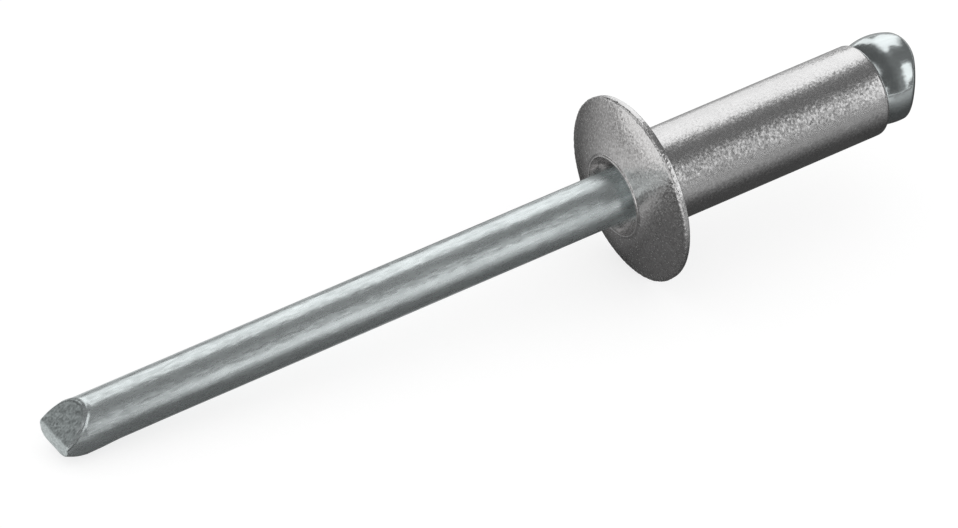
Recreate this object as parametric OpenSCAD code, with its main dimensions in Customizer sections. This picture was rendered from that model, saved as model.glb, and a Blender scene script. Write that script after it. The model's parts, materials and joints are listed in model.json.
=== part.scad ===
// Blind rivet as supplied: a domed aluminium body on a plated steel mandrel.
// It lies at rest on the rim of its flange and on the cut tip of its mandrel, +Z up.
// Inside lying() the pieces share one axis: z = 0 is the underside of the flange,
// the blind end is on the +z side, the mandrel's tip on the -z side, and -x faces up.

/* [Tube] */
// Outside diameter of the tube
body_d = 4; // [3.7:0.05:4.8]
// Length of the tube from the underside of the flange to the blind end
body_length = 11.55; // [6:0.05:25]
// Radius of the rounded edge at the blind end
blind_end_round = 0.27; // [0.05:0.01:0.3]
// Radius of the fillet between the tube and the flange
neck_fillet = 0.15; // [0.05:0.01:0.3]

/* [Flange] */
// Diameter of the flange
flange_d = 8.1; // [6:0.1:12]
// Thickness of the flange at its rim
rim_thickness = 0.27; // [0.15:0.01:0.5]
// Radius on the underside edge of the rim
rim_round = 0.06; // [0.02:0.01:0.1]
// Height of the dome at the mouth, above the underside
dome_height = 1.07; // [0.8:0.01:1.6]
// Diameter of the mouth that the mandrel comes out of
mouth_d = 3.44; // [3:0.02:3.6]
// Depth of the funnel from the mouth down to the bore
funnel_depth = 1.1; // [0.5:0.05:2]
// Radius of the bead raised round the mouth
bead_radius = 0.07; // [0.04:0.01:0.16]

/* [Mandrel stem] */
// Diameter of the stem
mandrel_d = 2.23; // [1.9:0.01:2.5]
// Length of the stem from the underside of the flange to the cut tip
stem_length = 27.85; // [24:0.05:40]
// Thickness of the blunt end left between the two cut faces
tip_thickness = 0.67; // [0.2:0.01:1.2]
// How far the blunt end sits below the axis when the rivet lies down
tip_offset = 0.2; // [0:0.01:0.3]
// Angle of the upper cut face to the axis
upper_cut_angle = 38; // [20:0.1:50]
// Angle of the lower cut face to the axis
lower_cut_angle = 24.6; // [20:0.1:50]
// Width of the stem at the blunt end, along the cut faces
tip_width = 1.97; // [1.6:0.01:2]
// Length over which the sides narrow to that width
side_taper = 1; // [0.4:0.1:1.2]
// Depth of the groove where the stem breaks
notch_depth = 0.3; // [0.1:0.01:0.4]
// Radius of the section of that groove
notch_radius = 0.6; // [0.4:0.05:0.8]
// Distance from the middle of that groove to the seat of the head
notch_setback = 1.3; // [1:0.1:3]

/* [Mandrel head] */
// Diameter of the head at its widest
head_d = 3.79; // [3:0.01:3.9]
// Radius that the side of the head bulges by, seen from the side
head_bulge_radius = 2.55; // [2.2:0.05:6]
// Height of the head's widest place above its seat
head_bulge_height = 0.98; // [0.6:0.01:1.1]
// How far the head was upset to one side of the stem
head_offset = 0.12; // [0:0.005:0.2]
// Direction round the axis that the upset end leans towards
lean_direction = -76; // [-180:1:180]
// Angle that the upset end leans by
end_lean = 35.5; // [0:0.5:38]
// Height of the upset end above the seat, along its own leaning axis
end_height = 2.15; // [1.8:0.01:2.6]
// Diameter of the upset end before it runs into the side of the head
end_d = 5.3; // [5:0.05:5.6]
// Radius of the domed face of the upset end
end_dome_radius = 5.6; // [4.5:0.1:9]
// Radius of the rounded edge of the upset end
end_round = 1.15; // [0.6:0.01:1.3]

/* [Fit] */
// Gap between the stem and the wall of the bore
bore_clearance = 0.035; // [0.01:0.005:0.1]

/* [Hidden] */
$fn = 120;
// Overrun of a cutting shape past what it cuts
cut = 1;
// How far the stem runs on into the head
stem_overlap = 0.25;
body_r = body_d / 2;
flange_r = flange_d / 2;
mouth_r = mouth_d / 2;
stem_r = mandrel_d / 2;
bore_r = stem_r + bore_clearance;
head_r = head_d / 2;
end_r = end_d / 2;
// The dome is part of a sphere that passes through the rim's front edge and the mouth's edge
dome_centre = (pow(flange_r, 2) - pow(mouth_r, 2) + pow(rim_thickness, 2) - pow(dome_height, 2))
    / (2 * (dome_height - rim_thickness));
dome_radius = norm([flange_r, rim_thickness + dome_centre]);
// The rounded edge of the upset end touches the domed face from inside
edge_drop = sqrt(pow(end_dome_radius - end_round, 2) - pow(end_r - end_round, 2));
edge_height = end_height - end_dome_radius + edge_drop;
tip_r = tip_width / 2;
upper_edge = tip_offset - tip_thickness / 2;
lower_edge = tip_offset + tip_thickness / 2;
// Where the lower cut face leaves the stem: the stem's lowest point when the rivet lies down
cut_length = (stem_r - lower_edge) / tan(lower_cut_angle);
rest_lean = atan((flange_r - stem_r) / (stem_length - cut_length - rim_thickness));
rest_height = flange_r * cos(rest_lean) + rim_thickness * sin(rest_lean);
// The highest point of the upset end above the seat, which is on its rounded edge
end_top = (end_r - end_round) * sin(end_lean) + edge_height * cos(end_lean) + end_round;
// The middle of the rivet along its axis
mid_axis = (body_length + end_top - stem_length) / 2;

// Lays the rivet down: its axis runs along +X and rises towards the blind end
module lying() {
    translate([-mid_axis * cos(rest_lean), 0, rest_height])
        rotate([0, 90 - rest_lean, 0])
            children();
}

// What is cut off a square corner to round it, with the round's centre at the origin
module corner_waste(radius) {
    difference() {
        square(radius + cut);
        circle(radius);
    }
}

module tube_profile() {
    difference() {
        translate([0, -rim_thickness])
            square([body_r, body_length + rim_thickness]);
        translate([body_r - blind_end_round, body_length - blind_end_round])
            corner_waste(blind_end_round);
    }
    difference() {
        square([body_r + neck_fillet, neck_fillet]);
        translate([body_r + neck_fillet, neck_fillet])
            circle(neck_fillet);
    }
}

module flange_profile() {
    difference() {
        intersection() {
            translate([0, -2 * dome_height])
                square([flange_r, 2 * dome_height]);
            translate([0, dome_centre])
                circle(dome_radius, $fn = 360);
        }
        translate([flange_r - rim_round, -rim_round])
            corner_waste(rim_round);
    }
    translate([mouth_r + bead_radius / 2, bead_radius / 2 - dome_height])
        circle(bead_radius);
}

module bore_profile() {
    polygon([
        [-cut, -2 * dome_height],
        [mouth_r, -2 * dome_height],
        [mouth_r, bead_radius - dome_height],
        [bore_r, funnel_depth - dome_height],
        [bore_r, body_length + cut],
        [-cut, body_length + cut]
    ]);
}

module rivet_body() {
    color([0.74, 0.72, 0.71])
        lying()
            rotate_extrude()
                difference() {
                    union() {
                        tube_profile();
                        flange_profile();
                    }
                    bore_profile();
                }
}

module stem_profile() {
    difference() {
        polygon([
            [0, -stem_length],
            [tip_r, -stem_length],
            [stem_r, side_taper - stem_length],
            [stem_r, body_length + stem_overlap],
            [0, body_length + stem_overlap]
        ]);
        translate([stem_r - notch_depth + notch_radius, body_length - notch_setback])
            circle(notch_radius);
    }
}

// The stem, pinched to a wedge at its tip
module stem() {
    wedge_reach = stem_length + body_length + stem_overlap + cut;
    intersection() {
        rotate_extrude()
            stem_profile();
        translate([0, 0, -stem_length])
            rotate([90, 0, 0])
                linear_extrude(2 * mandrel_d, center = true)
                    polygon([
                        [upper_edge, 0],
                        [lower_edge, 0],
                        [lower_edge + wedge_reach * tan(lower_cut_angle), wedge_reach],
                        [upper_edge - wedge_reach * tan(upper_cut_angle), wedge_reach]
                    ]);
    }
}

module head_side_profile() {
    intersection() {
        square([head_r, end_height + cut]);
        translate([head_r - head_bulge_radius, head_bulge_height])
            circle(head_bulge_radius, $fn = 240);
    }
}

module upset_end_profile() {
    // The domed face reaches out to where the rounded edge touches it
    intersection() {
        translate([0, end_height - end_dome_radius])
            circle(end_dome_radius, $fn = 240);
        translate([0, end_height - end_dome_radius])
            polygon([
                [0, 0],
                [0, 2 * end_dome_radius],
                2 * [end_r - end_round, edge_drop]
            ]);
    }
    translate([end_r - end_round, edge_height])
        circle(end_round);
    translate([0, -end_r])
        square([end_r, end_r + edge_height]);
}

// The head bulges like a ball next to the tube, and its free end was upset at a lean
module head() {
    translate([0, 0, body_length])
        rotate([0, 0, lean_direction])
            translate([-head_offset, 0, 0])
                intersection() {
                    rotate_extrude()
                        head_side_profile();
                    rotate([0, end_lean, 0])
                        rotate_extrude()
                            upset_end_profile();
                }
}

module mandrel() {
    color([0.6, 0.64, 0.64])
        lying() {
            stem();
            head();
        }
}

rivet_body();
mandrel();
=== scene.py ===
# %% [markdown]
# A pop rivet is two pieces of metal: a soft aluminium body, which is a tube with a domed flange,
# and a steel mandrel, which is a pin that goes through it. This script dresses the measured model
# of such a rivet, so it starts by loading that model. Everything here is in metres, and the rivet
# lies on the floor at z = 0, as a rivet does: on the rim of its flange and on the tip of its pin.
# Sizes are written in millimetres, because that is how a rivet is measured, and turned to metres.

# %% Load the measured model
import json
import math
import bmesh
import bpy
import numpy as np
from mathutils import Matrix, Vector


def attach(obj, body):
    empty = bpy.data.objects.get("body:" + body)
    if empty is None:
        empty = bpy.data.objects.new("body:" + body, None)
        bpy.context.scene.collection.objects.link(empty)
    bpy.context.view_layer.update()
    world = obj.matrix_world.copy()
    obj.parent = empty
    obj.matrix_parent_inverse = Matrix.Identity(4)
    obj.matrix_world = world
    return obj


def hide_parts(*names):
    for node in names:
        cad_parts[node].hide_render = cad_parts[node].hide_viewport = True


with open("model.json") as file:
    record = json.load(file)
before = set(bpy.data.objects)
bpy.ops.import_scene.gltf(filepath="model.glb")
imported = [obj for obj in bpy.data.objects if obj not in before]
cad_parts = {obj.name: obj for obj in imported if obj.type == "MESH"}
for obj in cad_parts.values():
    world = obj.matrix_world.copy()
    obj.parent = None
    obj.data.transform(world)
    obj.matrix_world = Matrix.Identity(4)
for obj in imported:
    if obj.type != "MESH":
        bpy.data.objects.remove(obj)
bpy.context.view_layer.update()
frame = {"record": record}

MM = 0.001

# %% [markdown]
# Both pieces are round, so they are made upright, round their own axis, and laid down at the end.
# The measured model states where the tube is and which way it points, as the places where other
# parts fasten. The underside of the flange is the zero along the axis, the head is on the plus
# side and the tip on the minus side. The turn about Y that lays the axis down also makes the
# rivet's own -X point up.

# %% Find the rivet's axis
mounts = {mount["name"]: mount for mount in frame["record"]["mounts"]}
axis = Vector(mounts["shank"]["axis"]).normalized()
seat = Vector(mounts["flange_seat"]["pos_m"])
seat.y = 0
lean = math.asin(axis.z)
lying = Matrix.Translation(seat) @ Matrix.Rotation(math.pi / 2 - lean, 4, "Y")
print("axis rises by", round(math.degrees(lean), 2), "degrees from", [round(x / MM, 3) for x in seat])

# %% [markdown]
# The camera stands where the photographer's did. Its place was worked out from the outlines of
# the tube and the pin: they get only 4 per cent narrower from end to end, so it was a long lens
# from far away. It looks down on the rivet at 37 degrees, from the side where the tip is.
# The middle of the flange's underside is tied to its own pixel, and that fixes the rest.

# %% Place the camera
IMAGE_WIDTH = 958
IMAGE_HEIGHT = 528
FLANGE_PIXEL = (634.5, 187.15)
FOCAL_PIXELS = 8014
camera_distance = 328.1 * MM
camera_azimuth = math.radians(-38.07)
camera_elevation = math.radians(37.07)
camera_roll = math.radians(7.12)

camera_data = bpy.data.cameras.new("camera")
camera_data.sensor_width = 36
camera_data.lens = FOCAL_PIXELS / IMAGE_WIDTH * camera_data.sensor_width
camera_data.clip_start = 10 * MM
camera = bpy.data.objects.new("camera", camera_data)
bpy.context.scene.collection.objects.link(camera)
turn = (
    Matrix.Rotation(camera_azimuth, 3, "Z")
    @ Matrix.Rotation(math.pi / 2 - camera_elevation, 3, "X")
    @ Matrix.Rotation(camera_roll, 3, "Z")
)
flange_in_view = Vector((
    (FLANGE_PIXEL[0] - IMAGE_WIDTH / 2) / FOCAL_PIXELS * camera_distance,
    (IMAGE_HEIGHT / 2 - FLANGE_PIXEL[1]) / FOCAL_PIXELS * camera_distance,
    -camera_distance,
))
camera.matrix_world = Matrix.Translation(seat - turn @ flange_in_view) @ turn.to_4x4()
bpy.context.scene.camera = camera
print("lens", round(camera_data.lens), "mm, camera at", [round(x, 3) for x in camera.location])

# %% [markdown]
# The body is cold formed from one slug of aluminium and is round all over, so its shape follows a
# rule: one outline, turned round the axis. A spin in mesh code would do it, but a Geometry Nodes
# tree keeps the outline editable and can also nick the rim, so the tree is a small lathe. First
# comes the outline itself, as points of radius and height. It is a closed loop, up the bore,
# over the blind end, down the tube, out along the flange and back over the dome into the mouth.
# Each corner of the real rivet is a little round, so each corner here is an arc. The rim is a
# hair narrower at its back edge, which is what lets it catch the light as a bright line.

# %% Draw the body's outline
TUBE_RADIUS = 2.0
BODY_LENGTH = 11.55
BORE_RADIUS = 1.15
BORE_END_ROUND = 0.03
BLIND_END_ROUND = 0.27
NECK_FILLET = 0.15
FLANGE_RADIUS = 4.05
RIM_THICKNESS = 0.27
RIM_ROUND = 0.06
RIM_TAPER = 0.015
RIM_FRONT_ROUND = 0.04
RIM_FRONT_INSET = 0.035
DOME_HEIGHT = 1.07
DOME_INSET = 0.03
MOUTH_RADIUS = 1.72
BEAD_RADIUS = 0.07
BEAD_FOOT = 1.48 * BEAD_RADIUS
FUNNEL_DEPTH = 1.1


def arc(centre, radius, start, end, steps):
    angles = np.radians(np.linspace(start, end, steps + 1))
    return [(centre[0] + radius * math.cos(a), centre[1] + radius * math.sin(a)) for a in angles]


def line(start, end, steps):
    shares = np.linspace(0, 1, steps + 1)[1:-1]
    return [tuple(np.add(start, share * np.subtract(end, start))) for share in shares]


dome_centre = (
    (FLANGE_RADIUS ** 2 - MOUTH_RADIUS ** 2 + RIM_THICKNESS ** 2 - DOME_HEIGHT ** 2)
    / (2 * (DOME_HEIGHT - RIM_THICKNESS))
)
dome_radius = math.hypot(FLANGE_RADIUS, RIM_THICKNESS + dome_centre)
rim_angle = math.degrees(math.asin((FLANGE_RADIUS - DOME_INSET) / dome_radius)) - 90
bead_angle = math.degrees(math.asin((MOUTH_RADIUS + BEAD_FOOT) / dome_radius)) - 90

bore_corner = (BORE_RADIUS + BORE_END_ROUND, BODY_LENGTH - BORE_END_ROUND)
blind_corner = (TUBE_RADIUS - BLIND_END_ROUND, BODY_LENGTH - BLIND_END_ROUND)
neck_corner = (TUBE_RADIUS + NECK_FILLET, NECK_FILLET)
rim_back_corner = (FLANGE_RADIUS - RIM_TAPER - RIM_ROUND, -RIM_ROUND)
rim_front_corner = (FLANGE_RADIUS - RIM_FRONT_ROUND, RIM_FRONT_INSET - RIM_THICKNESS)
bead_centre = (MOUTH_RADIUS + BEAD_RADIUS / 2, BEAD_RADIUS / 2 - DOME_HEIGHT)

bore_end = arc(bore_corner, BORE_END_ROUND, 180, 90, 3)
blind_end = arc(blind_corner, BLIND_END_ROUND, 90, 0, 10)
neck = arc(neck_corner, NECK_FILLET, 180, 270, 6)
rim_back = arc(rim_back_corner, RIM_ROUND, 90, 0, 5)
rim_front = arc(rim_front_corner, RIM_FRONT_ROUND, 0, -60, 4)
dome = arc((0, dome_centre), dome_radius, rim_angle, bead_angle, 28)
bead = arc(bead_centre, BEAD_RADIUS, -15, -120, 9)
mouth = (MOUTH_RADIUS, BEAD_RADIUS - DOME_HEIGHT)
bore_start = (BORE_RADIUS, FUNNEL_DEPTH - DOME_HEIGHT)

outline = bore_end + line(bore_end[-1], blind_end[0], 3) + blind_end
outline += line(blind_end[-1], neck[0], 8) + neck
outline += line(neck[-1], rim_back[0], 8) + rim_back
outline += line(rim_back[-1], rim_front[0], 9) + rim_front + dome + bead
outline += line(bead[-1], mouth, 3) + [mouth] + line(mouth, bore_start, 4) + [bore_start]
outline += line(bore_start, bore_end[0], 4)
print("body outline:", len(outline), "points, dome radius", round(dome_radius, 2), "mm")

# %% [markdown]
# A node tree can be built in code: each node is added, set and linked. Written out, that is
# several lines for each node, so it is done by three helpers, which serve for shapes, finishes
# and lights alike. The first adds a node and gives each input a value or a link. The other two
# are shorter ways to write sums, because most nodes here are sums.

# %% Helpers for node trees
def add_node(tree, kind, inputs=None, **settings):
    node = tree.nodes.new(kind)
    for name, value in settings.items():
        setattr(node, name, value)
    for socket, value in (inputs or {}).items():
        if isinstance(value, bpy.types.NodeSocket):
            tree.links.new(value, node.inputs[socket])
        else:
            node.inputs[socket].default_value = value
    return node


def math_node(tree, operation, *values):
    return add_node(tree, "ShaderNodeMath", dict(enumerate(values)), operation=operation).outputs[0]


def vector_node(tree, operation, *values):
    node = add_node(tree, "ShaderNodeVectorMath", dict(enumerate(values)), operation=operation)
    return node.outputs["Value" if operation in ("LENGTH", "DOT_PRODUCT") else "Vector"]


print("helpers:", [helper.__name__ for helper in (add_node, math_node, vector_node)])

# %% [markdown]
# The lathe takes the outline as a wire loop and sweeps it round a circle with Curve to Mesh,
# which leaves no seam and no pole to close. Its inputs have names, so that the sizes can be
# changed in the modifier. Real rivets are tumbled together in a barrel after forming, and the
# knocks nick the rim, most of all its front edge. A noise field moves the points there, and only
# there: one mask grows over the last part of the radius, the other from the back edge of the
# rim to the front edge.

# %% Build the lathe
RIM_BEGINS = 0.98
RIM_IS_FULL = 0.999
NICKS_AT_BACK = 0.15

lathe = bpy.data.node_groups.new("lathe", "GeometryNodeTree")
lathe.interface.new_socket("Outline", in_out="INPUT", socket_type="NodeSocketGeometry")
for name, kind in (
    ("Sides", "NodeSocketInt"),
    ("Circle Radius", "NodeSocketFloat"),
    ("Rim Radius", "NodeSocketFloat"),
    ("Rim Height", "NodeSocketFloat"),
    ("Nick Width", "NodeSocketFloat"),
    ("Nick Depth", "NodeSocketFloat"),
    ("Seed", "NodeSocketFloat"),
    ("Finish", "NodeSocketMaterial"),
):
    lathe.interface.new_socket(name, in_out="INPUT", socket_type=kind)
lathe.interface.new_socket("Geometry", in_out="OUTPUT", socket_type="NodeSocketGeometry")

given = add_node(lathe, "NodeGroupInput").outputs
wire = add_node(lathe, "GeometryNodeMeshToCurve", {"Mesh": given["Outline"]})
circle = add_node(lathe, "GeometryNodeCurvePrimitiveCircle", {
    "Resolution": given["Sides"],
    "Radius": given["Circle Radius"],
})
sweep = add_node(lathe, "GeometryNodeCurveToMesh", {
    "Curve": circle.outputs["Curve"],
    "Profile Curve": wire.outputs["Curve"],
})
place = add_node(lathe, "GeometryNodeInputPosition").outputs[0]
radius = vector_node(lathe, "LENGTH", vector_node(lathe, "MULTIPLY", place, (1, 1, 0)))
mask = add_node(lathe, "ShaderNodeMapRange", {
    "Value": math_node(lathe, "DIVIDE", radius, given["Rim Radius"]),
    "From Min": RIM_BEGINS,
    "From Max": RIM_IS_FULL,
}, interpolation_type="SMOOTHSTEP").outputs["Result"]
height = vector_node(lathe, "DOT_PRODUCT", place, (0, 0, -1))
front = add_node(lathe, "ShaderNodeMapRange", {
    "Value": math_node(lathe, "DIVIDE", height, given["Rim Height"]),
    "From Min": 0.5,
    "From Max": 0.9,
    "To Min": NICKS_AT_BACK,
    "To Max": 1.0,
}).outputs["Result"]
nick_noise = add_node(lathe, "ShaderNodeTexNoise", {
    "Vector": place,
    "W": given["Seed"],
    "Scale": math_node(lathe, "DIVIDE", 1, given["Nick Width"]),
    "Detail": 2,
}, noise_dimensions="4D").outputs["Color"]
nick = vector_node(lathe, "SUBTRACT", nick_noise, (0.5, 0.5, 0.5))
depth = math_node(lathe, "MULTIPLY", math_node(lathe, "MULTIPLY", mask, front), given["Nick Depth"])
offset = add_node(lathe, "ShaderNodeVectorMath", {0: nick, "Scale": depth}, operation="SCALE")
nicked = add_node(lathe, "GeometryNodeSetPosition", {
    "Geometry": sweep.outputs["Mesh"],
    "Offset": offset.outputs[0],
})
smooth = add_node(lathe, "GeometryNodeSetShadeSmooth", {"Geometry": nicked.outputs[0]})
real = add_node(lathe, "GeometryNodeRealizeInstances", {"Geometry": smooth.outputs[0]})
finished = add_node(lathe, "GeometryNodeSetMaterial", {
    "Geometry": real.outputs[0],
    "Material": given["Finish"],
})
add_node(lathe, "NodeGroupOutput", {"Geometry": finished.outputs[0]})
print("lathe tree:", len(lathe.nodes), "nodes")

# %% [markdown]
# Now the lathe turns the body. The result becomes a plain mesh, because the piece has to stand on
# its own, and it is laid on the rivet's axis. The sweep may leave it inside out, so its normals
# are worked out again: on a closed shell that always makes them point outwards.

# %% Turn the body
MERGE_DISTANCE = 0.0001 * MM
aluminium = bpy.data.materials.new("tumbled_aluminium")


def lay_down(mesh, name):
    shape = bmesh.new()
    shape.from_mesh(mesh)
    bmesh.ops.remove_doubles(shape, verts=shape.verts, dist=MERGE_DISTANCE)
    bmesh.ops.recalc_face_normals(shape, faces=shape.faces)
    shape.to_mesh(mesh)
    shape.free()
    mesh.transform(lying)
    piece = bpy.data.objects.new(name, mesh)
    bpy.context.scene.collection.objects.link(piece)
    print(name, "has", sum(len(face.vertices) - 2 for face in mesh.polygons), "triangles")
    return piece


wire_mesh = bpy.data.meshes.new("outline")
wire_mesh.from_pydata(
    [((r - TUBE_RADIUS) * MM, -t * MM, 0) for r, t in outline],
    [(i, (i + 1) % len(outline)) for i in range(len(outline))],
    [],
)
blank = bpy.data.objects.new("blank", wire_mesh)
bpy.context.scene.collection.objects.link(blank)
turning = blank.modifiers.new("turning", "NODES")
turning.node_group = lathe
settings = {
    "Sides": 860,
    "Circle Radius": TUBE_RADIUS * MM,
    "Rim Radius": FLANGE_RADIUS * MM,
    "Rim Height": RIM_THICKNESS * MM,
    "Nick Width": 0.09 * MM,
    "Nick Depth": 0.08 * MM,
    "Seed": 4.0,
    "Finish": aluminium,
}
sockets = {item.name: item.identifier for item in lathe.interface.items_tree if item.in_out == "INPUT"}
for name, value in settings.items():
    turning[sockets[name]] = value
turned = bpy.data.meshes.new_from_object(blank.evaluated_get(bpy.context.evaluated_depsgraph_get()))
bpy.data.objects.remove(blank)
body_piece = lay_down(turned, "aluminium_body")

# %% [markdown]
# The mandrel isn't one turned shape. Wire is pinched off to a wedge at one end, and at the other
# it is struck into a head that leans. Both are the overlap of simple forms with soft edges, so
# the mandrel is written as one: a function that says how far a point is from the metal, below
# zero inside. Where two surfaces meet, the larger distance wins, which cuts one by the other,
# and the cut is rounded by a radius. The pinch was not even: the wedge's blunt edge sits a little
# below the axis, the metal swelled beside it on the near side, and a thin lip stands round the
# upper cut face. The groove is where the real pin breaks, and is hidden in the tube.

# %% Describe the stem
STEM_RADIUS = 1.115
STEM_LENGTH = 27.85
UPPER_EDGE = -0.135
LOWER_EDGE = 0.535
UPPER_CUT_ANGLE = math.radians(38)
LOWER_CUT_ANGLE = math.radians(24.6)
UPPER_CUT_ROUND = 0.035
LOWER_CUT_ROUND = 0.3
BLUNT_ROUND = 0.07
TIP_RADIUS = 0.985
SIDE_TAPER = 1.0
LONG_SWELL = 0.05
SHORT_SWELL = 0.11
LIP_HEIGHT = 0.03
CUT_RIPPLE = 0.006
NOTCH_DEPTH = 0.3
NOTCH_RADIUS = 0.6
NOTCH_PLACE = BODY_LENGTH - 1.3


def round_cut(first, second, radius):
    inner = np.minimum(np.maximum(first, second), -radius)
    return inner + np.hypot(np.maximum(first + radius, 0), np.maximum(second + radius, 0))


def hump(value, middle, width):
    return np.exp(-((value - middle) / width) ** 2)


def ripples(x, y, t, width, seed):
    waves = np.random.default_rng(seed).normal(size=(24, 4))
    total = sum(np.sin((a * x + b * y + c * t) * 2 / width + 40 * d) for a, b, c, d in waves)
    return total / math.sqrt(len(waves) / 2)


def upper_cut(x, t):
    return (UPPER_EDGE - x) * math.cos(UPPER_CUT_ANGLE) - (t + STEM_LENGTH) * math.sin(UPPER_CUT_ANGLE)


def lower_cut(x, t):
    return (x - LOWER_EDGE) * math.cos(LOWER_CUT_ANGLE) - (t + STEM_LENGTH) * math.sin(LOWER_CUT_ANGLE)


def notch(x, y, t):
    middle = STEM_RADIUS - NOTCH_DEPTH + NOTCH_RADIUS
    return NOTCH_RADIUS - np.hypot(np.hypot(x, y) - middle, t - NOTCH_PLACE)


def stem(x, y, t):
    from_end = t + STEM_LENGTH
    upper = upper_cut(x, t) + CUT_RIPPLE * ripples(x, y, t, 0.3, 2)
    lower = lower_cut(x, t)
    lower_front = np.clip((x - y) / (math.sqrt(2) * STEM_RADIUS), 0, None) ** 2
    swell = LONG_SWELL * hump(from_end, 1.5, 0.9) + SHORT_SWELL * hump(from_end, 0.35, 0.6)
    lip = LIP_HEIGHT * hump(upper, -0.12, 0.06)
    narrowing = np.clip(1 - from_end / SIDE_TAPER, 0, None) * (STEM_RADIUS - TIP_RADIUS)
    side = np.hypot(x, y) - STEM_RADIUS - swell * lower_front - lip + narrowing
    wedge = round_cut(round_cut(side, lower, LOWER_CUT_ROUND), upper, UPPER_CUT_ROUND)
    return np.maximum(round_cut(wedge, -from_end, BLUNT_ROUND), notch(x, y, t))


print("stem at its middle, distance from axis to metal's skin:", round(-float(stem(0.0, 0.0, -10.0)), 3), "mm")

# %% [markdown]
# The head is struck while the wire is held by the tube's end. The metal bulges out sideways like
# a ball and is flat where it sits on the tube. The free end took the blow askew: it is a wide
# flat dome whose own axis leans by 35 degrees, and it runs into the ball with a soft fold.

# %% Describe the head
HEAD_RADIUS = 1.895
BULGE_RADIUS = 2.55
BULGE_HEIGHT = 0.98
HEAD_OFFSET = 0.12
SEAT_ROUND = 0.08
LEAN_DIRECTION = math.radians(-76)
END_LEAN = math.radians(35.5)
END_HEIGHT = 2.15
END_RADIUS = 2.65
END_DOME_RADIUS = 5.6
END_ROUND = 1.15
FOLD_ROUND = 0.1
HEAD_RIPPLE = 0.0015


def head(x, y, t):
    across = x * math.cos(LEAN_DIRECTION) + y * math.sin(LEAN_DIRECTION) + HEAD_OFFSET
    along = y * math.cos(LEAN_DIRECTION) - x * math.sin(LEAN_DIRECTION)
    height = t - BODY_LENGTH
    from_bulge = np.hypot(across, along) + BULGE_RADIUS - HEAD_RADIUS
    ball = np.hypot(from_bulge, height - BULGE_HEIGHT) - BULGE_RADIUS
    held = round_cut(ball, -height, SEAT_ROUND)
    end_across = across * math.cos(END_LEAN) - height * math.sin(END_LEAN)
    end_height = across * math.sin(END_LEAN) + height * math.cos(END_LEAN)
    end_radius = np.hypot(end_across, along)
    dome = np.hypot(end_radius, end_height - END_HEIGHT + END_DOME_RADIUS) - END_DOME_RADIUS
    struck = round_cut(dome, end_radius - END_RADIUS, END_ROUND)
    return round_cut(held, struck, FOLD_ROUND) + HEAD_RIPPLE * ripples(x, y, t, 0.9, 5)


print("head 1 mm above its seat is inside the metal:", bool(head(0.0, 0.0, BODY_LENGTH + 1.0) < 0))

# %% [markdown]
# The mesh is found by shooting rays from inside the metal out to its surface. Rays from one point
# near the tip fan out over the wedge, rays square to the axis follow the stem, and rays from the
# middle of the head fan out over the head. They all come in rings of the same number of points,
# so neighbouring rings join into quads, and both ends close on a single point. Rings lie close
# together where the shape turns and far apart along the plain wire.

# %% Shoot the mandrel's surface
SEGMENTS = 320
HALVINGS = 34
RAY_LENGTH = 3
HEAD_RAY_LENGTH = 4
TIP_CENTRE = 1.4 - STEM_LENGTH
TIP_END = 2.6 - STEM_LENGTH
NOTCH_START = NOTCH_PLACE - 0.7
NOTCH_END = NOTCH_PLACE + 0.7
HEAD_CENTRE = (
    -HEAD_OFFSET * math.cos(LEAN_DIRECTION),
    -HEAD_OFFSET * math.sin(LEAN_DIRECTION),
    BODY_LENGTH + 1.0,
)


def reach_surface(field, start, direction, longest):
    near = np.zeros(direction.shape[:-1])
    far = np.full(direction.shape[:-1], float(longest))
    for _ in range(HALVINGS):
        middle = (near + far) / 2
        inside = field(*np.moveaxis(start + middle[..., None] * direction, -1, 0)) < 0
        near = np.where(inside, middle, near)
        far = np.where(inside, far, middle)
    return start + far[..., None] * direction


def fan(centre, polar):
    polar = np.radians(polar)[:, None]
    spin = np.linspace(0, 2 * math.pi, SEGMENTS, endpoint=False)[None, :]
    return np.array(centre), np.stack([
        np.sin(polar) * np.cos(spin),
        np.sin(polar) * np.sin(spin),
        -np.cos(polar) * np.ones_like(spin),
    ], axis=-1)


tip_centre, tip_rays = fan((0, 0, TIP_CENTRE), np.linspace(0, 90, 101)[1:-1])
tip_rings = reach_surface(stem, tip_centre, tip_rays, RAY_LENGTH)
heights = np.concatenate([
    np.linspace(TIP_CENTRE, TIP_END, 16)[:-1],
    np.linspace(TIP_END, NOTCH_START, 14)[:-1],
    np.linspace(NOTCH_START, NOTCH_END, 20),
    [BODY_LENGTH],
])
stem_centres = np.zeros((len(heights), 1, 3))
stem_centres[:, 0, 2] = heights
stem_rays = fan((0, 0, 0), np.full(len(heights), 90.0))[1]
stem_rings = reach_surface(stem, stem_centres, stem_rays, RAY_LENGTH)
head_centre, head_rays = fan(HEAD_CENTRE, np.linspace(53, 180, 121)[:-1])
head_rings = reach_surface(head, head_centre, head_rays, HEAD_RAY_LENGTH)
rings = np.concatenate([tip_rings, stem_rings, head_rings])
poles = [
    reach_surface(stem, tip_centre, np.array([[0.0, 0.0, -1.0]]), RAY_LENGTH)[0],
    reach_surface(head, head_centre, np.array([[0.0, 0.0, 1.0]]), HEAD_RAY_LENGTH)[0],
]
print("mandrel:", len(rings), "rings of", SEGMENTS, "points, length", round(poles[1][2] - poles[0][2], 2), "mm")

# %% [markdown]
# The rings become one mesh here. The finish has to know where the sheared faces of the tip and
# the struck head are, because they look different from the drawn wire. A second material would
# meet the first in a hard line, so each point stores two shares instead, from 0 to 1, and the
# finish blends by them.

# %% Join the rings into the mandrel
CUT_EDGE = 0.05
CUT_BLEND = 0.04
BLUNT_SHARE = 0.4
HEAD_BLEND = 0.1

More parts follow.
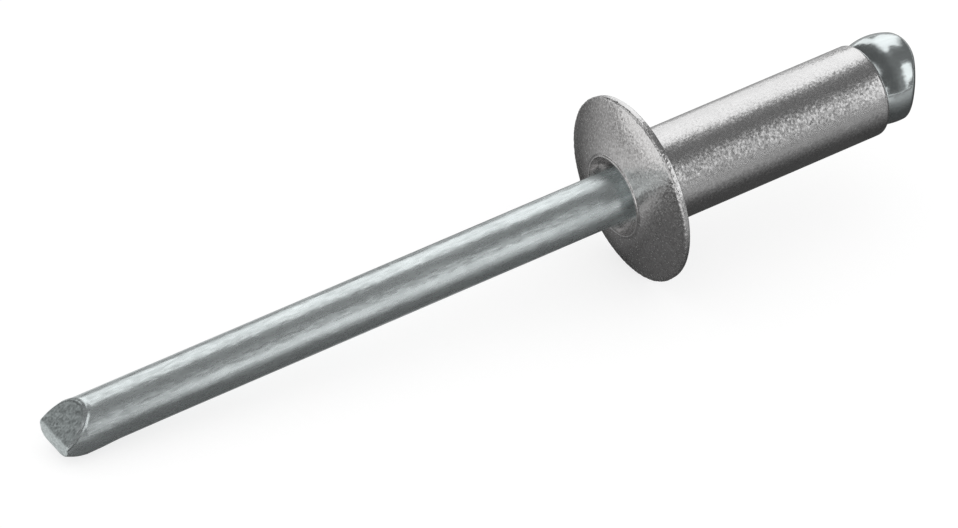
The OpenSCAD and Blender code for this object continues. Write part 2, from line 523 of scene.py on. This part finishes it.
points = np.concatenate([rings.reshape(-1, 3), poles])
ring, step = np.meshgrid(np.arange(len(rings) - 1), np.arange(SEGMENTS), indexing="ij")
first = (ring * SEGMENTS + step).ravel()
second = (ring * SEGMENTS + (step + 1) % SEGMENTS).ravel()
quads = np.stack([first, second, second + SEGMENTS, first + SEGMENTS], axis=-1).tolist()
last_ring = (len(rings) - 1) * SEGMENTS
tip_pole = len(points) - 2
head_pole = len(points) - 1
fans = [(i, tip_pole, (i + 1) % SEGMENTS) for i in range(SEGMENTS)]
fans += [(last_ring + i, last_ring + (i + 1) % SEGMENTS, head_pole) for i in range(SEGMENTS)]
mandrel_mesh = bpy.data.meshes.new("mandrel")
mandrel_mesh.from_pydata((points * MM).tolist(), [], quads + fans)

x, y, t = points.T
cut_gap = np.maximum(upper_cut(x, t), lower_cut(x, t))
end_gap = np.maximum(cut_gap, -BLUNT_SHARE * (t + STEM_LENGTH))
cut_share = np.clip((end_gap + CUT_EDGE) / CUT_BLEND, 0, 1)
head_share = np.clip((t - BODY_LENGTH + HEAD_BLEND) / HEAD_BLEND, 0, 1)
for name, share in (("cut", cut_share), ("head", head_share)):
    mandrel_mesh.attributes.new(name, "FLOAT", "POINT").data.foreach_set("value", share)
mandrel_mesh.shade_smooth()
mandrel_piece = lay_down(mandrel_mesh, "steel_mandrel")

# %% [markdown]
# Both finishes are patterns in the metal, so they are laid out in the rivet's own directions, in
# millimetres: a Mapping node of the Texture type undoes the turn that laid the rivet down. Bare
# metal shows what it mirrors, and its grain shows because each grain faces a slightly different
# way. A Bump node alone would lose that, because it takes the slope over about a pixel and the
# grain is hardly wider. So a noise field is added to the facing direction itself, and the bump
# only carries the broader dents.

# %% Helpers for the finishes
def start_finish(material):
    material.use_nodes = True
    tree = material.node_tree
    tree.nodes.clear()
    place = add_node(tree, "ShaderNodeTexCoord").outputs["Object"]
    mapping = add_node(tree, "ShaderNodeMapping", {
        "Vector": place,
        "Location": seat,
        "Rotation": (0, math.pi / 2 - lean, 0),
        "Scale": (MM, MM, MM),
    }, vector_type="TEXTURE")
    return tree, mapping.outputs[0]


def noise(tree, place, scale, detail=2.0, roughness=0.5):
    return add_node(tree, "ShaderNodeTexNoise", {
        "Vector": place,
        "Scale": scale,
        "Detail": detail,
        "Roughness": roughness,
    }).outputs["Fac"]


def ranged(tree, value, low, high, from_low=0.3, from_high=0.7):
    return add_node(tree, "ShaderNodeMapRange", {
        "Value": value,
        "From Min": from_low,
        "From Max": from_high,
        "To Min": low,
        "To Max": high,
    }).outputs["Result"]


def blend(tree, share, first, second):
    return add_node(tree, "ShaderNodeMix", {0: share, 6: first, 7: second}, data_type="RGBA").outputs[2]


def tilt_normal(tree, place, scale, strength):
    wander = add_node(tree, "ShaderNodeTexNoise", {"Vector": place, "Scale": scale, "Detail": 2.0})
    centred = vector_node(tree, "SUBTRACT", wander.outputs["Color"], (0.5, 0.5, 0.5))
    tilt = add_node(tree, "ShaderNodeVectorMath", {0: centred, "Scale": strength}, operation="SCALE")
    facing = add_node(tree, "ShaderNodeNewGeometry").outputs["Normal"]
    return vector_node(tree, "NORMALIZE", vector_node(tree, "ADD", facing, tilt.outputs[0]))


def finish_metal(tree, colour, purity, roughness, normal, height, depth):
    bump = add_node(tree, "ShaderNodeBump", {
        "Height": height,
        "Distance": depth,
        "Strength": 1.0,
        "Normal": normal,
    })
    metal = add_node(tree, "ShaderNodeBsdfPrincipled", {
        "Base Color": colour,
        "Metallic": purity,
        "Roughness": roughness,
        "Normal": bump.outputs[0],
    })
    add_node(tree, "ShaderNodeOutputMaterial", {"Surface": metal.outputs[0]})


print("the finishes turn the pattern back by", round(math.degrees(math.pi / 2 - lean), 1), "degrees")

# %% [markdown]
# Tumbling in a barrel takes the burrs off the aluminium and leaves a satin skin with grains of
# about a tenth of a millimetre. On the tube they differ in how they face and in how rough they
# are. The dome took the knocks of all the other rivets, so there the grains also differ in tone,
# and the metal is a little duller. Both looks could be two materials, but the change is gradual,
# so one material blends them by the distance along the axis.

# %% Aluminium finish
GRAIN_SCALE = 11.0
DENT_SCALE = 5.0
CLOUD_SCALE = 1.6
FACING_SCALE = 9.5
DENT_DEPTH = 0.008 * MM
TUBE_TILT = 0.24
DOME_TILT = 0.12
DOME_DULLING = 0.12
DOME_POLISH = 0.06

tree, place = start_finish(aluminium)
grain = noise(tree, place, GRAIN_SCALE, 2.0, 0.6)
dents = noise(tree, place, DENT_SCALE, 2.0)
cloud = noise(tree, place, CLOUD_SCALE, 2.0)
along = add_node(tree, "ShaderNodeSeparateXYZ", {0: place}).outputs["Z"]
dome_share = ranged(tree, along, 1, 0, -0.4, -0.1)
normal = tilt_normal(tree, place, FACING_SCALE, ranged(tree, dome_share, TUBE_TILT, DOME_TILT, 0, 1))
smooth_tone = blend(tree, ranged(tree, cloud, 0, 1), (0.76, 0.757, 0.758, 1), (0.81, 0.807, 0.808, 1))
spots = ranged(tree, grain, 0, 1, 0.34, 0.64)
spotted_tone = blend(tree, spots, (0.48, 0.47, 0.467, 1), (0.82, 0.81, 0.806, 1))
tone = blend(tree, dome_share, smooth_tone, spotted_tone)
purity = math_node(tree, "SUBTRACT", 1, math_node(tree, "MULTIPLY", dome_share, DOME_DULLING))
polish = math_node(tree, "MULTIPLY", dome_share, DOME_POLISH)
roughness = math_node(tree, "SUBTRACT", ranged(tree, grain, 0.15, 0.34), polish)
finish_metal(tree, tone, purity, roughness, normal, dents, DENT_DEPTH)
print("aluminium finish:", len(tree.nodes), "nodes")

# %% [markdown]
# The mandrel is drawn wire with bright zinc on it, a cool and slightly green metal. Drawing
# leaves fine lines along the wire, so its noise is stretched five times in that direction. The
# faces that were sheared at the tip have no such lines and are darker, rougher and specked. The
# head was struck in a polished die, so it is the smoothest part and mirrors the studio almost
# like glass.

# %% Zinc-plated steel finish
ALONG_WIRE = (1, 1, 0.2)
LINE_SCALE = 7.0
SPECK_SCALE = 11.0
WIRE_FACING_SCALE = 10.0
WIRE_TILT = 0.18
HEAD_TILT = 0.06
SHEARED_TILT = 0.5
SHEARED_ROUGHNESS = 0.15
LINE_DEPTH = 0.004 * MM

plated_steel = bpy.data.materials.new("zinc_plated_steel")
tree, place = start_finish(plated_steel)
drawn = add_node(tree, "ShaderNodeMapping", {"Vector": place, "Scale": ALONG_WIRE}).outputs[0]
lines = noise(tree, drawn, LINE_SCALE, 3.0, 0.6)
speck = noise(tree, place, SPECK_SCALE, 2.0, 0.6)
cloud = noise(tree, drawn, CLOUD_SCALE, 2.0)
cut = add_node(tree, "ShaderNodeAttribute", attribute_name="cut").outputs["Fac"]
at_head = add_node(tree, "ShaderNodeAttribute", attribute_name="head").outputs["Fac"]
height = math_node(tree, "ADD", lines, math_node(tree, "MULTIPLY", speck, cut))
wire_tilt = ranged(tree, at_head, WIRE_TILT, HEAD_TILT, 0, 1)
tilt = math_node(tree, "ADD", wire_tilt, math_node(tree, "MULTIPLY", cut, SHEARED_TILT))
normal = tilt_normal(tree, drawn, WIRE_FACING_SCALE, tilt)
plating = blend(tree, ranged(tree, cloud, 0, 1), (0.71, 0.765, 0.77, 1), (0.82, 0.88, 0.885, 1))
sheared = blend(tree, ranged(tree, speck, 0, 1), (0.3, 0.33, 0.33, 1), (0.55, 0.6, 0.6, 1))
tone = blend(tree, cut, plating, sheared)
cut_roughness = math_node(tree, "MULTIPLY", cut, SHEARED_ROUGHNESS)
roughness = add_node(tree, "ShaderNodeMix", {
    0: at_head,
    2: math_node(tree, "ADD", ranged(tree, lines, 0.2, 0.36), cut_roughness),
    3: ranged(tree, speck, 0.12, 0.2),
}).outputs[0]
purity = ranged(tree, at_head, 0.9, 0.98, 0, 1)
finish_metal(tree, tone, purity, roughness, normal, height, LINE_DEPTH)
mandrel_piece.data.materials.append(plated_steel)
print("steel finish:", len(tree.nodes), "nodes")

# %% [markdown]
# The dressed pieces now take the place of the measured ones. Each rides on a body and hides the node it
# replaces, and the print names the record's material slot it stands for. A rivet that isn't set yet moves as
# one thing, so both pieces ride on the root.

# %% Tie the pieces to the measured model
for piece, node, slot in (
    (body_piece, "rivet_body", "aluminium"),
    (mandrel_piece, "mandrel", "plated_steel"),
):
    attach(piece, "root")
    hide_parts(node)
    print(piece.name, "replaces", node, "and fills", slot)

# %% [markdown]
# Bright metal has hardly a colour of its own: what is seen on it is the studio round it, so the
# studio is made as carefully as the rivet. Lamps and cards could be objects, but what is far away
# is only a direction, and a direction is easily written in the world's nodes. It is told by its
# angle round the rivet, 0 being up and plus being away from the viewer, and by how far it points
# forward along the rivet, from -1 on the tip's side to 1 on the head's side.

# %% Directions round the rivet
world = bpy.data.worlds.new("studio")
bpy.context.scene.world = world
world.use_nodes = True
sky = world.node_tree
sky.nodes.clear()
direction = add_node(sky, "ShaderNodeTexCoord").outputs["Generated"]
side_up = Vector((-axis.z, 0, axis.x))
upward = vector_node(sky, "DOT_PRODUCT", direction, side_up)
backward = vector_node(sky, "DOT_PRODUCT", direction, (0, 1, 0))
forward = vector_node(sky, "DOT_PRODUCT", direction, axis)
around = math_node(sky, "ARCTAN2", backward, upward)
degrees = math_node(sky, "MULTIPLY", around, 180 / math.pi)
print("up beside the rivet is", [round(x, 3) for x in side_up])

# %% [markdown]
# The studio is dark grey, with soft-edged panels of light in it. A white tent stands behind the
# rivet and makes the broad white stripe along its top, with a faint foot below. A lamp and a
# faint card stand on the viewer's side, and the lamp is only seen in the head and in the rim. Both
# tent and lamp turn a little towards the head's side, which narrows what the head mirrors of
# them. The panels named after the tip are hardly seen from the photographer's place, but
# without them the rivet would look nearly black from its head's end. Only mirrored rays see
# the panels. All other rays see an even white, which lights plain colours as they are written.

# %% Panels of light
DARK_BESIDE = 0.075
DARK_FORWARD = 0.13
PANEL_END_SOFTNESS = 0.12


def soft_step(value, edge, width):
    return add_node(sky, "ShaderNodeMapRange", {
        "Value": value,
        "From Min": edge - width / 2,
        "From Max": edge + width / 2,
    }, interpolation_type="SMOOTHSTEP").outputs["Result"]


def window(value, low, high, width):
    return math_node(sky, "SUBTRACT", soft_step(value, low, width), soft_step(value, high, width))


def panel(level, angle, low, high, start, end, edge=9):
    across = window(angle, low, high, edge)
    along = window(forward, start, end, PANEL_END_SOFTNESS)
    return math_node(sky, "MULTIPLY", math_node(sky, "MULTIPLY", across, along), level)


tent_angle = math_node(sky, "SUBTRACT", degrees, ranged(sky, forward, 0, 18, 0.42, 0.56))
lamp_angle = math_node(sky, "SUBTRACT", degrees, ranged(sky, forward, 0, 19, 0.49, 0.58))
panels = {
    "tent": panel(0.97, tent_angle, 13, 76, start=0.31, end=0.76, edge=7),
    "tent foot": panel(0.07, tent_angle, -4, 14, start=0.31, end=0.76, edge=14),
    "lamp": panel(1.0, lamp_angle, -97, -48, start=0.49, end=0.8),
    "low card": panel(0.05, degrees, -94, -46, start=0.3, end=0.47, edge=14),
    "tip side": panel(0.14, degrees, -200, 200, start=-1.2, end=-0.4),
    "tip top": panel(0.55, degrees, -32, 2, start=-1.2, end=-0.16, edge=18),
    "tip tent": panel(0.6, degrees, 34, 74, start=-0.8, end=-0.56, edge=14),
    "tip lamp": panel(0.5, degrees, -98, -56, start=-1.2, end=-0.46, edge=14),
}
mirrored = ranged(sky, forward, DARK_BESIDE, DARK_FORWARD, 0.12, 0.3)
for light in panels.values():
    mirrored = math_node(sky, "ADD", mirrored, light)
rays = add_node(sky, "ShaderNodeLightPath").outputs
strength = add_node(sky, "ShaderNodeMix", {0: rays["Is Glossy Ray"], 2: 1.0, 3: mirrored}).outputs[0]
background = add_node(sky, "ShaderNodeBackground", {"Color": (1, 1, 1, 1), "Strength": strength})
add_node(sky, "ShaderNodeOutputWorld", {"Surface": background.outputs[0]})
print("studio:", len(panels), "panels,", len(sky.nodes), "nodes")

# %% [markdown]
# The floor is white paper under the rivet. For the camera and in mirrored rays it glows a little,
# which makes up the white of the photograph, and the rest of its white is plain paper that takes
# the rivet's soft shadow. For all other rays it is ordinary paper, which throws its light up onto
# the rivet as real paper does.

# %% Floor
PAPER = (0.8, 0.8, 0.8, 1)
SHADED_PAPER = (0.3, 0.3, 0.3, 1)
PAPER_GLOW = 0.74
FLOOR_REACH = 400


def flat_corners(x_low, x_high, y_low, y_high, z):
    return [(x_low, y_low, z), (x_high, y_low, z), (x_high, y_high, z), (x_low, y_high, z)]


def make_sheet(name, corners, material):
    mesh = bpy.data.meshes.new(name)
    mesh.from_pydata([tuple(x * MM for x in corner) for corner in corners], [], [(0, 1, 2, 3)])
    mesh.materials.append(material)
    sheet = bpy.data.objects.new(name, mesh)
    bpy.context.scene.collection.objects.link(sheet)
    return sheet


def start_sheet_material(name):
    material = bpy.data.materials.new(name)
    material.use_nodes = True
    material.node_tree.nodes.clear()
    return material, material.node_tree


paper, tree = start_sheet_material("white_paper")
rays = add_node(tree, "ShaderNodeLightPath").outputs
bounced = math_node(tree, "MAXIMUM", rays["Is Glossy Ray"], rays["Is Transmission Ray"])
seen = math_node(tree, "MAXIMUM", rays["Is Camera Ray"], bounced)
plain = add_node(tree, "ShaderNodeBsdfDiffuse", {"Color": PAPER})
shaded = add_node(tree, "ShaderNodeBsdfDiffuse", {"Color": SHADED_PAPER})
glow = add_node(tree, "ShaderNodeEmission", {"Color": (1, 1, 1, 1), "Strength": PAPER_GLOW})
white = add_node(tree, "ShaderNodeAddShader", {0: shaded.outputs[0], 1: glow.outputs[0]})
mixed = add_node(tree, "ShaderNodeMixShader", {0: seen, 1: plain.outputs[0], 2: white.outputs[0]})
add_node(tree, "ShaderNodeOutputMaterial", {"Surface": mixed.outputs[0]})
floor_corners = flat_corners(-FLOOR_REACH, FLOOR_REACH, -FLOOR_REACH, FLOOR_REACH, 0)
floor = make_sheet("floor", floor_corners, paper)
print("floor:", [round(x / MM) for x in floor.dimensions], "mm")

# %% [markdown]
# What stands close to the rivet is seen from each part of it in another direction, so it has to be a sheet with
# a place. Only mirrored rays see these sheets. A grey card covers the floor: it is nearly black under the rivet
# and lighter to both sides, and a brighter patch lies where the flange's dome mirrors it. The dark under the
# rivet and behind the dome, and the patch's darkening towards the dome's foot, are painted shadow of the rivet
# on the floor, seen only in the metal's reflections. The card ends under the tip, so the blunt end there
# mirrors the white paper. A darker card lies under the head. The near lamp is seen by the stem and hardly by
# the tube, and the narrow back wall is seen by the tube's upper edge.

# %% Cards and walls that only mirrors see
def mirrored_sheet(name, corners, level):
    material, tree = start_sheet_material(name)
    strength = level(tree) if callable(level) else level
    glow = add_node(tree, "ShaderNodeEmission", {"Color": (1, 1, 1, 1), "Strength": strength})
    add_node(tree, "ShaderNodeOutputMaterial", {"Surface": glow.outputs[0]})
    sheet = make_sheet(name, corners, material)
    sheet.visible_camera = False
    sheet.visible_diffuse = False
    sheet.visible_shadow = False
    sheet.visible_transmission = False


def upright_corners(x_low, x_high, y, z_low, z_high):
    return [(x_low, y, z_low), (x_high, y, z_low), (x_high, y, z_high), (x_low, y, z_high)]


# This level paints the rivet's shadow on the floor into the grey card: darkest under the rivet, darker behind
# the dome, and darker towards the dome's foot in the patch that the dome mirrors.
def painted_floor_shadow_level(tree):
    place = add_node(tree, "ShaderNodeTexCoord").outputs["Object"]
    x, y = add_node(tree, "ShaderNodeSeparateXYZ", {0: place}).outputs[:2]
    far = ranged(tree, x, 0.55, 0.38, 14 * MM, 24 * MM)
    aside = ranged(tree, math_node(tree, "ABSOLUTE", y), 0.055, far, 5 * MM, 22 * MM)
    near = ranged(tree, y, 0.3, 1, -52 * MM, -38 * MM)
    behind = ranged(tree, y, 0, 1, -1 * MM, 1 * MM)
    beside_dome = ranged(tree, x, 0.75, 0, 6 * MM, 14 * MM)
    painted_dome_shadow = math_node(tree, "SUBTRACT", 1, math_node(tree, "MULTIPLY", behind, beside_dome))
    grey = math_node(tree, "MULTIPLY", math_node(tree, "MULTIPLY", aside, near), painted_dome_shadow)
    before_dome = ranged(tree, x, 0.7, 0.03, -3 * MM, 7 * MM)
    fading = ranged(tree, y, 1, 0.5, 4 * MM, 14 * MM)
    seen_in_dome = math_node(tree, "MULTIPLY", before_dome, math_node(tree, "MULTIPLY", behind, fading))
    return math_node(tree, "MAXIMUM", grey, seen_in_dome)


def dark_level(tree):
    place = add_node(tree, "ShaderNodeTexCoord").outputs["Object"]
    y = add_node(tree, "ShaderNodeSeparateXYZ", {0: place}).outputs[1]
    return ranged(tree, math_node(tree, "ABSOLUTE", y), 0.05, 0.32, 4 * MM, 17 * MM)


mirrored_sheet("grey_card", flat_corners(-20.9, 160, -120, 120, 0.01), painted_floor_shadow_level)
mirrored_sheet("black_card", flat_corners(20, 36, -34, 18, 0.02), dark_level)
mirrored_sheet("near_lamp", upright_corners(-9, 14, -25, 2.5, 15), 0.75)
mirrored_sheet("back_wall", upright_corners(32, 46, 60, 0.5, 40), 1)
print("stage and finishes:", len(bpy.data.materials), "materials")

# %% [markdown]
# Last come the colours as they are, with no film look.

# %% Colours as they are
bpy.context.scene.view_settings.view_transform = "Standard"
